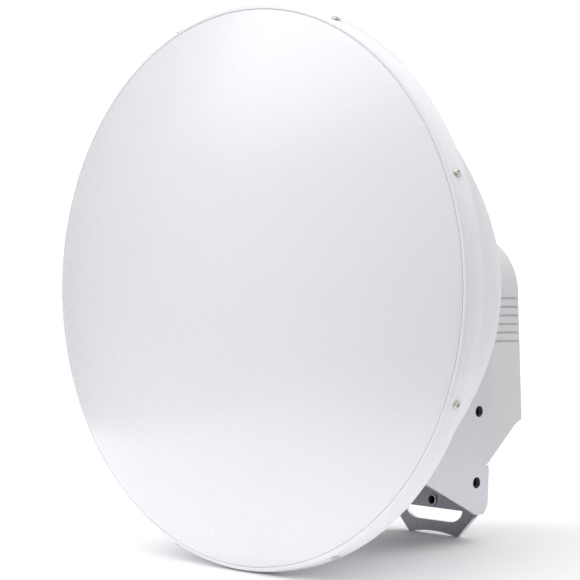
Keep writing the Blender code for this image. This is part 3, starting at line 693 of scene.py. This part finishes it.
slot_outline = arc((SLOT_BOTTOM_HALF, SLOT_TOP), slot_ends, 0.0, -90.0, 12)
slot_outline += arc((-SLOT_BOTTOM_HALF, SLOT_TOP), slot_ends, -90.0, -180.0, 12)
cut(bracket, prism("hand_slot", slot_outline, "Y", PLATE_REAR, FOOT_REAR + BEYOND))
place = Matrix.Translation((INSERT_X, FOOT_REAR, INSERT_HEIGHT)) @ Matrix.Rotation(math.pi / 2, 4, "X")
drill(bracket, INSERT_HOLE_RADIUS, 0.020, place)
for height in POLE_HOLE_HEIGHTS:
    place = Matrix.Translation((0.0, POLE_HOLE_Y, height)) @ Matrix.Rotation(math.pi / 2, 4, "Y")
    drill(bracket, POLE_HOLE_RADIUS, 3.0 * BRACKET_HALF_WIDTH, place)

clear = PLATE_BOWL_CLEARANCE + BOWL_FRONT
bowl_clearance = [(0.0, BOWL_FRONT)]
for step in range(BOWL_STEPS):
    radius = BOWL_RADIUS * (1.0 - step / BOWL_STEPS)
    bowl_clearance.append((radius, clear + BOWL_DEPTH * (1.0 - (radius / BOWL_RADIUS) ** 2)))
bowl_clearance.append((0.0, clear + BOWL_DEPTH))
edge_of_hub = [point for point in bowl_clearance if point[1] < HUB_PLATE_FRONT - GAP / 2]
edge_of_hub.append((edge_of_hub[-1][0], HUB_PLATE_FRONT - GAP / 2))
edge_of_hub.append((0.0, HUB_PLATE_FRONT - GAP / 2))
cut(bracket, spin_section("bowl_space", edge_of_hub, 180))
break_edges(bracket)
finish_piece(bracket, zinc_plate, "bracket", "side_plate_left", "side_plate_right", "foot_plate", flat=True)

# The inside of the channel keeps the coarse upright brushing of the raw sheet; its darker colour is painted
# shade, for the web's front face and the plates' inner faces that lie in the shadow under the dish.
shaded_inner_steel = new_material("inner_steel_painted_shade", "#8C8B92", 0.36, 1.0)
COARSE_MM = 0.9
raked = add_node(shaded_inner_steel, "ShaderNodeMapping", [("Vector", "upright", "Vector")],
                 Rotation=(0.0, math.radians(38.0), 0.0), Scale=(1.0, 1.0, 1.0 / BRUSH_STRETCH))
coarse = add_node(shaded_inner_steel, "ShaderNodeTexNoise", [("Vector", raked, "Vector")],
                  Scale=1000.0 / COARSE_MM, Detail=3.0, Roughness=0.65)
vary_colour(shaded_inner_steel, coarse, "Fac", "#6E6D75", "#A09FA6")
vary_roughness(shaded_inner_steel, coarse, "Fac", 0.30, 0.46)
raise_grain(shaded_inner_steel, coarse, "Fac", 0.00004)
bracket.data.materials.append(shaded_inner_steel)
# Faces inside the channel and on the web's front get the darker painted-shade steel.
upright_again = stand.inverted()
for face in bracket.data.polygons:
    middle = upright_again @ face.center
    normal = upright_again.to_3x3() @ face.normal
    in_web = middle.y > PLATE_REAR_BEND and normal.y < -0.5
    if in_web or (abs(middle.x) < BRACKET_INSIDE + GAP and normal.x * middle.x < -0.5 * abs(middle.x)
                  and middle.z < PLATE_TOP and middle.y < PLATE_REAR_BEND + BEND_RADIUS - SHEET):
        face.material_index = 1

# Pole-mount nuts
# Blind nuts pressed into the side plates from inside, for the pole clamp's bolts; their near-black steel is
# painted shade, for the dark inside of the pole holes.
NUT_WALL_RADIUS = 0.0039
NUT_BORE = 0.0034
NUT_END = 0.0463
NUT_FACE = 0.0492
NUT_THREAD = 0.0003
NUT_PITCH = 0.00062
# Near-black steel as painted shade, also used in the insert's bore; the noise only varies its tone at
# random.
painted_shade_steel = new_material("dark_steel_painted_shade", "#3A3F47", 0.30, 1.0)
shade_mottle = add_node(painted_shade_steel, "ShaderNodeTexNoise", [("Vector", "upright", "Vector")],
                Scale=1000.0 / TUMBLE_MM, Detail=3.0)
vary_colour(painted_shade_steel, shade_mottle, "Fac", "#30353C", "#454B54")
vary_roughness(painted_shade_steel, shade_mottle, "Fac", 0.24, 0.40)
nut_section = [(0.0, NUT_END), (NUT_WALL_RADIUS, NUT_END, 0.0004), (NUT_WALL_RADIUS, NUT_FACE),
               (NUT_BORE + NUT_THREAD, NUT_FACE)]
thread_x = NUT_FACE - NUT_PITCH / 2
while thread_x > NUT_END + 2.0 * NUT_PITCH:
    nut_section += [(NUT_BORE, thread_x), (NUT_BORE + NUT_THREAD, thread_x - NUT_PITCH / 2)]
    thread_x -= NUT_PITCH
nut_section += [(NUT_BORE, NUT_END + NUT_PITCH), (0.0, NUT_END + NUT_PITCH)]
nut_pattern = spin_section("nut_pattern", rounded(nut_section), 48)
for side, side_name in ((-1.0, "left"), (1.0, "right")):
    for height, level in zip(POLE_HOLE_HEIGHTS, ("upper", "lower")):
        nut = nut_pattern.copy()
        nut.data = nut_pattern.data.copy()
        nut.name = f"pole_nut_{side_name}_{level}"
        bpy.context.collection.objects.link(nut)
        turned = Matrix.Rotation(-side * math.pi / 2, 4, "Z")
        nut.matrix_world = Matrix.Translation((0.0, POLE_HOLE_Y, height)) @ turned
        finish_piece(nut, painted_shade_steel, "bracket")
bpy.data.objects.remove(nut_pattern, do_unlink=True)

# Ground insert
# A blind threaded insert pressed into the web above the hand slot, where the earth lead is screwed on.
INSERT_FLANGE_RADIUS = 0.0048
INSERT_FLANGE = 0.0004
INSERT_BORE = 0.0028
INSERT_TAIL = 0.003
INSERT_END_WALL = 0.0008
THREAD_DEPTH = 0.0003
THREAD_PITCH = 0.0008
web_front = FOOT_REAR - SHEET
insert_front = web_front - GAP - INSERT_FLANGE
insert_rear = FOOT_REAR + INSERT_TAIL
insert_floor = insert_rear - INSERT_END_WALL
barrel = INSERT_HOLE_RADIUS - GAP
section = [(0.0, insert_rear), (barrel, insert_rear, 0.0004), (barrel, web_front - GAP),
           (INSERT_FLANGE_RADIUS, web_front - GAP, 0.0001), (INSERT_FLANGE_RADIUS, insert_front, 0.0002),
           (INSERT_BORE + THREAD_DEPTH, insert_front)]
thread_y = insert_front + THREAD_PITCH / 2
while thread_y < insert_floor - 1.5 * THREAD_PITCH:
    section += [(INSERT_BORE, thread_y), (INSERT_BORE + THREAD_DEPTH, thread_y + THREAD_PITCH / 2)]
    thread_y += THREAD_PITCH
section += [(INSERT_BORE, insert_floor), (0.0, insert_floor)]
insert = spin_section("threaded_insert", rounded(section), 48)
insert.location = (INSERT_X, 0.0, INSERT_HEIGHT)

# Zinc-plated steel, coloured as dark as the shaded web round it (painted shade), with the bore painted near
# black as the shade inside the hole.
insert_shade_steel = new_material("plated_steel_painted_shade", "#8D8A93", 0.32, 1.0)
TURNING_MM = 0.25
turning = add_node(insert_shade_steel, "ShaderNodeTexNoise", [("Vector", "upright", "Vector")],
                   Scale=1000.0 / TURNING_MM, Detail=2.0)
vary_colour(insert_shade_steel, turning, "Fac", "#7B7881", "#9A979F")
vary_roughness(insert_shade_steel, turning, "Fac", 0.26, 0.40)
raise_grain(insert_shade_steel, turning, "Fac", 0.00001)
finish_piece(insert, insert_shade_steel, "fasteners", "ground_insert")
# The bore's faces take the near-black painted-shade steel.
insert.data.materials.append(painted_shade_steel)
for face in insert.data.polygons:
    middle = upright_again @ face.center
    off_axis = math.hypot(middle.x - INSERT_X, middle.z - INSERT_HEIGHT)
    if off_axis < INSERT_BORE + THREAD_DEPTH and insert_front < middle.y < insert_floor + GAP:
        face.material_index = 1

# Housing cover
# The injection-moulded cover of the radio: a round top on sides that lean out, a sloping underside and
# six shallow grooves in each side that run out at the rear edge.
HOUSING_ARCH_RADIUS = 0.0442
HOUSING_ARCH_CENTRE = -0.0043
HOUSING_FOOT_HALF = 0.0465
HOUSING_FRONT = 0.178
HOUSING_REAR_TOP = 0.232
HOUSING_REAR_LOW = 0.2388
HOUSING_REAR_CORNER = -0.0910
HOUSING_LIP_Y = 0.2307
HOUSING_LIP_HEIGHT = -0.0947
HOUSING_SLOPE_END = 0.1999
HOUSING_BOTTOM = -0.1222
HOUSING_WALL = 0.0025
HOUSING_EDGE_ROUND = 0.0022
GROOVE_COUNT = 6
GROOVE_FIRST = -0.0048
GROOVE_PITCH = 0.0061
GROOVE_HEIGHT = 0.0016
VENT_DEPTH = 0.0011
GROOVE_FRONT = 0.186
side_lean = (HOUSING_FOOT_HALF - HOUSING_ARCH_RADIUS) / (HOUSING_ARCH_CENTRE - HOUSING_BOTTOM)


def arch_outline(inset, bottom, steps=64):
    """The housing seen from behind, set in by a wall."""
    radius = HOUSING_ARCH_RADIUS - inset
    foot = radius + side_lean * (HOUSING_ARCH_CENTRE - bottom)
    return arc((0.0, HOUSING_ARCH_CENTRE), (radius, radius), 0.0, 180.0, steps) + [(-foot, bottom),
                                                                                   (foot, bottom)]


cover = prism("radio_cover", arch_outline(0.0, HOUSING_BOTTOM - 0.005), "Y", HOUSING_FRONT,
              HOUSING_REAR_LOW + 0.002)
side_shape = rounded([(HOUSING_FRONT - 0.002, HOUSING_BOTTOM), (HOUSING_SLOPE_END, HOUSING_BOTTOM),
                      (HOUSING_LIP_Y, HOUSING_LIP_HEIGHT, 0.002), (HOUSING_REAR_LOW, HOUSING_REAR_CORNER),
                      (HOUSING_REAR_TOP, HOUSING_ARCH_CENTRE),
                      (HOUSING_REAR_TOP, 0.060), (HOUSING_FRONT - 0.002, 0.060)], closed=True)
cut(cover, prism("housing_side", side_shape, "X", -0.075, 0.075), "INTERSECT")
edit(cover, "EDGE")


def at_rear_rim(edge):
    """True for an edge between the rear face and the sides or top."""
    rear = [face for face in edge.link_faces if face.normal.y > 0.9]
    return len(rear) == 1 and all(v.co.z > HOUSING_REAR_CORNER - 0.001 for v in edge.verts) \
        and abs(edge.link_faces[0].normal.dot(edge.link_faces[1].normal)) < 0.5


pick(cover, "EDGE", at_rear_rim)
bpy.ops.mesh.bevel(offset=HOUSING_EDGE_ROUND, segments=5)
pick(cover, "FACE", lambda face: face.normal.y < -0.9 or face.normal.z < -0.5)
bpy.ops.mesh.delete(type="FACE")
bpy.ops.object.mode_set(mode="OBJECT")
modify(cover, "SOLIDIFY", thickness=HOUSING_WALL, offset=-1.0, use_even_offset=True)

for index in range(GROOVE_COUNT):
    z = GROOVE_FIRST - GROOVE_PITCH * index
    wall = HOUSING_ARCH_RADIUS + side_lean * (HOUSING_ARCH_CENTRE - z)
    for side in (-1.0, 1.0):
        inner, outer = side * (wall - VENT_DEPTH), side * (wall + BEYOND)
        groove_tool = block("groove_tool", (min(inner, outer), GROOVE_FRONT, z - GROOVE_HEIGHT / 2),
                            (max(inner, outer), HOUSING_REAR_LOW + BEYOND, z + GROOVE_HEIGHT / 2))
        cut(cover, groove_tool)
break_edges(cover, 0.00025)

# Grey ASA plastic from a spark-eroded mould: matt, with a fine even grain.
grained_plastic = new_material("grained_grey_asa_plastic", "#D3D3D5", 0.48, IOR=1.52)
SPARK_MM = 0.6
spark = add_node(grained_plastic, "ShaderNodeTexNoise", [("Vector", "upright", "Vector")],
                 Scale=1000.0 / SPARK_MM, Detail=3.0, Roughness=0.6)
flow = add_node(grained_plastic, "ShaderNodeTexNoise", [("Vector", "upright", "Vector")], Scale=14.0)
vary_colour(grained_plastic, flow, "Fac", "#D0D0D2", "#D6D6D8")
vary_roughness(grained_plastic, spark, "Fac", 0.42, 0.56)
raise_grain(grained_plastic, spark, "Fac", 0.00004)
finish_piece(cover, grained_plastic, "housing", "housing_cover", flat=True)

# Housing back
# The flat plastic plate that closes the cover towards the dish, clipped in behind its front edge.
BACK_THICKNESS = 0.002
UNDERSIDE_THICKNESS = 0.002
back_outline = arch_outline(HOUSING_WALL + GAP, HOUSING_BOTTOM + UNDERSIDE_THICKNESS + GAP)
back = prism("cover_back_plate", back_outline, "Y", HOUSING_FRONT, HOUSING_FRONT + BACK_THICKNESS)
break_edges(back)
finish_piece(back, grained_plastic, "housing", "housing_back", flat=True)

# Housing underside
# The folded door under the radio, level at the front and sloping up to the rear, held in the cover's
# mouth by its own spring.
rear = HOUSING_REAR_LOW - HOUSING_WALL - GAP
lip = Vector((HOUSING_LIP_Y, HOUSING_LIP_HEIGHT))
corner = Vector((HOUSING_REAR_LOW, HOUSING_REAR_CORNER))
lower = [(HOUSING_FRONT, HOUSING_BOTTOM), (HOUSING_SLOPE_END, HOUSING_BOTTOM), tuple(lip),
         tuple(lip.lerp(corner, (rear - lip.x) / (corner.x - lip.x)))]
upwards = []
for start, end in zip(lower, lower[1:]):
    along = (Vector(end) - Vector(start)).normalized()
    upwards.append(Vector((-along.y, along.x)))
upper = [(HOUSING_FRONT, HOUSING_BOTTOM + UNDERSIDE_THICKNESS)]
for (y, z), before, after in zip(lower[1:], upwards, upwards[1:]):
    shift = (before + after) * UNDERSIDE_THICKNESS / (1.0 + before.dot(after))
    upper.append((y + shift.x, z + shift.y))
upper.append((rear, lower[-1][1] + UNDERSIDE_THICKNESS / upwards[-1].y))
door = prism("cover_door", lower + upper[::-1], "X", -BRACKET_HALF_WIDTH, BRACKET_HALF_WIDTH)
opening = arch_outline(HOUSING_WALL + GAP, HOUSING_BOTTOM - BEYOND)
cut(door, prism("door_opening", opening, "Y", HOUSING_FRONT - BEYOND, HOUSING_REAR_LOW), "INTERSECT")
break_edges(door)
finish_piece(door, grained_plastic, "housing", "housing_underside", flat=True)

# Studio
# A strip of pale painted floor in a soft room: a lit backdrop behind the antenna, a wide light overhead,
# a fill and a soft box at the front and one more at the right rear. The left side stays dim.
FLOOR_WIDTH = 0.76
FLOOR_FRONT = -0.4
FLOOR_REAR = 1.3
ROOM_LIGHT = 0.24
LIGHTS = [((-0.69, 0.72, 0.0), 15.0, 34.0, 0.95), ((0.20, 0.40, 1.0), 30.0, 55.0, 0.90),
          ((-0.30, -1.0, 0.90), 25.0, 60.0, 0.95), ((-0.69, -0.73, 1.20), 14.0, 30.0, 2.00),
          ((0.90, 0.80, 0.25), 30.0, 70.0, 0.54)]
floor_length = FLOOR_REAR - FLOOR_FRONT
bpy.ops.object.select_all(action="DESELECT")
bpy.ops.mesh.primitive_plane_add(size=1.0, location=(0.0, 0.0, cad_low.z))
floor = bpy.context.object
floor.name = "studio_floor"
floor.data.transform(Matrix.Translation((0.0, (FLOOR_REAR + FLOOR_FRONT) / 2, 0.0))
                     @ Matrix.Diagonal((FLOOR_WIDTH, floor_length, 1.0, 1.0)))
floor.rotation_euler.z = math.radians(43.6)
pale_floor = new_material("pale_painted_floor", "#FBFBFC", 0.75)
floor.data.materials.append(pale_floor)

world = bpy.data.worlds.new("white_surround")
bpy.context.scene.world = world
world.use_nodes = True
surround = world.node_tree
directions = surround.nodes.new("ShaderNodeTexCoord")
total = surround.nodes.new("ShaderNodeValue")
total.outputs[0].default_value = ROOM_LIGHT
for towards, inner, outer, strength in LIGHTS:
    # Each light is a soft-edged patch of the surround, full inside one angle and gone outside another.
    facing = surround.nodes.new("ShaderNodeVectorMath")
    facing.operation = "DOT_PRODUCT"
    facing.inputs[1].default_value = Vector(towards).normalized()
    surround.links.new(directions.outputs["Generated"], facing.inputs[0])
    patch = surround.nodes.new("ShaderNodeMapRange")
    patch.interpolation_type = "SMOOTHSTEP"
    patch.inputs["From Min"].default_value = math.cos(math.radians(outer))
    patch.inputs["From Max"].default_value = math.cos(math.radians(inner))
    patch.inputs["To Max"].default_value = strength
    surround.links.new(facing.outputs["Value"], patch.inputs["Value"])
    adding = surround.nodes.new("ShaderNodeMath")
    surround.links.new(total.outputs[0], adding.inputs[0])
    surround.links.new(patch.outputs["Result"], adding.inputs[1])
    total = adding
surround.links.new(total.outputs[0], surround.nodes["Background"].inputs["Strength"])
surround.nodes["Background"].inputs["Color"].default_value = (1.0, 1.0, 1.0, 1.0)

scene = bpy.context.scene
scene.view_settings.view_transform = "Standard"
camera_data = bpy.data.cameras.new("camera")
camera_data.lens = 169.955
camera_data.sensor_width = 36.0
camera = bpy.data.objects.new("camera", camera_data)
scene.collection.objects.link(camera)
turn = Euler([math.radians(angle) for angle in (88.2539, -1.9548, 43.5821)]).to_matrix().to_4x4()
camera.matrix_world = stand @ Matrix.Translation((1.27516, -1.30310, 0.05525)) @ turn
scene.camera = camera
